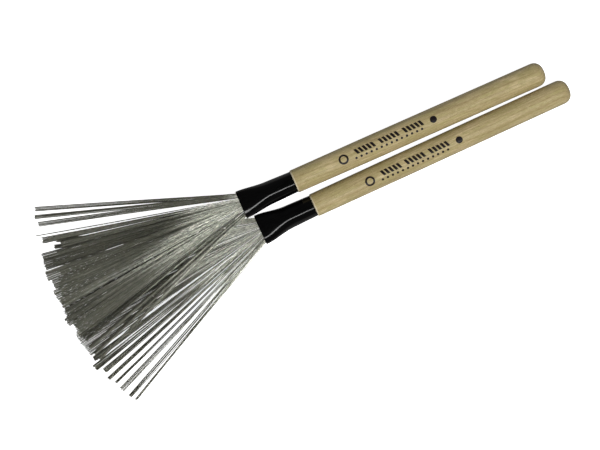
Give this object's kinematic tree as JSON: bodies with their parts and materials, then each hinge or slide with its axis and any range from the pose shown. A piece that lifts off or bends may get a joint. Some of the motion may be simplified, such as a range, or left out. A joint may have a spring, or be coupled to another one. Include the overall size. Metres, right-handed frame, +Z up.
{
  "type": "wire drum brushes",
  "caption": "Pair of fixed wire drum brushes: round hardwood handles, black shrunk-on sleeves with flattened mouths, and flat fans of springy steel wires that flex at the mouth.",
  "frame": {"origin": "middle of the lower handle's parallel grip, on its axis", "axes": "+X along the lower handle, out of its butt; +Y towards the upper brush; +Z up, with the table at z = -7.6 mm"},
  "size_m": [0.3432, 0.135, 0.0194],
  "materials": {
    "maple": "satin",
    "black_sleeve": "gloss",
    "spring_steel": "satin",
    "ferrule_brass": "satin",
    "resin": "gloss"
  },
  "bodies": {
    "lower_brush": {"lower_handle": "maple", "lower_ferrule": "ferrule_brass", "lower_root_slug": "resin", "lower_wire_roots": "spring_steel", "lower_sleeve": "black_sleeve"},
    "upper_brush": {"upper_handle": "maple", "upper_ferrule": "ferrule_brass", "upper_root_slug": "resin", "upper_wire_roots": "spring_steel", "upper_sleeve": "black_sleeve"},
    "lower_tuft_1_body": {"lower_tuft_1": "spring_steel"},
    "lower_tuft_2_body": {"lower_tuft_2": "spring_steel"},
    "lower_tuft_3_body": {"lower_tuft_3": "spring_steel"},
    "lower_tuft_4_body": {"lower_tuft_4": "spring_steel"},
    "lower_tuft_5_body": {"lower_tuft_5": "spring_steel"},
    "upper_tuft_1_body": {"upper_tuft_1": "spring_steel"},
    "upper_tuft_2_body": {"upper_tuft_2": "spring_steel"},
    "upper_tuft_3_body": {"upper_tuft_3": "spring_steel"},
    "upper_tuft_4_body": {"upper_tuft_4": "spring_steel"},
    "upper_tuft_5_body": {"upper_tuft_5": "spring_steel"}
  },
  "joints": [
    {"name": "upper_brush_lift", "type": "slide", "parent": "lower_brush", "child": "upper_brush", "axis": [0, 0, 1], "range_m": [0, 0.12]},
    {"name": "lower_tuft_1_flex", "type": "hinge", "parent": "lower_brush", "child": "lower_tuft_1_body", "pos_m": [-0.1485, 0, 0], "axis": [0, -1, 0], "range_deg": [0, 12], "stiffness_Nm_per_rad": 0.102, "springref_deg": -0.83},
    {"name": "lower_tuft_2_flex", "type": "hinge", "parent": "lower_brush", "child": "lower_tuft_2_body", "pos_m": [-0.1485, 0, 0], "axis": [0, -1, 0], "range_deg": [0, 12], "stiffness_Nm_per_rad": 0.276, "springref_deg": -0.83},
    {"name": "lower_tuft_3_flex", "type": "hinge", "parent": "lower_brush", "child": "lower_tuft_3_body", "pos_m": [-0.1485, 0, 0], "axis": [0, -1, 0], "range_deg": [0, 12], "stiffness_Nm_per_rad": 0.29, "springref_deg": -0.83},
    {"name": "lower_tuft_4_flex", "type": "hinge", "parent": "lower_brush", "child": "lower_tuft_4_body", "pos_m": [-0.1485, 0, 0], "axis": [0, -1, 0], "range_deg": [0, 12], "stiffness_Nm_per_rad": 0.276, "springref_deg": -0.83},
    {"name": "lower_tuft_5_flex", "type": "hinge", "parent": "lower_brush", "child": "lower_tuft_5_body", "pos_m": [-0.1485, 0, 0], "axis": [0, -1, 0], "range_deg": [0, 12], "stiffness_Nm_per_rad": 0.102, "springref_deg": -0.83},
    {"name": "upper_tuft_1_flex", "type": "hinge", "parent": "upper_brush", "child": "upper_tuft_1_body", "pos_m": [-0.15282, 0.01889, 0.0049], "axis": [0.0131, 0.9999, 0], "range_deg": [0, 12], "stiffness_Nm_per_rad": 0.102, "springref_deg": 0.83},
    {"name": "upper_tuft_2_flex", "type": "hinge", "parent": "upper_brush", "child": "upper_tuft_2_body", "pos_m": [-0.15282, 0.01889, 0.0049], "axis": [0.0131, 0.9999, 0], "range_deg": [0, 12], "stiffness_Nm_per_rad": 0.276, "springref_deg": 0.83},
    {"name": "upper_tuft_3_flex", "type": "hinge", "parent": "upper_brush", "child": "upper_tuft_3_body", "pos_m": [-0.15282, 0.01889, 0.0049], "axis": [0.0131, 0.9999, 0], "range_deg": [0, 12], "stiffness_Nm_per_rad": 0.29, "springref_deg": 0.83},
    {"name": "upper_tuft_4_flex", "type": "hinge", "parent": "upper_brush", "child": "upper_tuft_4_body", "pos_m": [-0.15282, 0.01889, 0.0049], "axis": [0.0131, 0.9999, 0], "range_deg": [0, 12], "stiffness_Nm_per_rad": 0.276, "springref_deg": 0.83},
    {"name": "upper_tuft_5_flex", "type": "hinge", "parent": "upper_brush", "child": "upper_tuft_5_body", "pos_m": [-0.15282, 0.01889, 0.0049], "axis": [0.0131, 0.9999, 0], "range_deg": [0, 12], "stiffness_Nm_per_rad": 0.102, "springref_deg": 0.83}
  ]
}
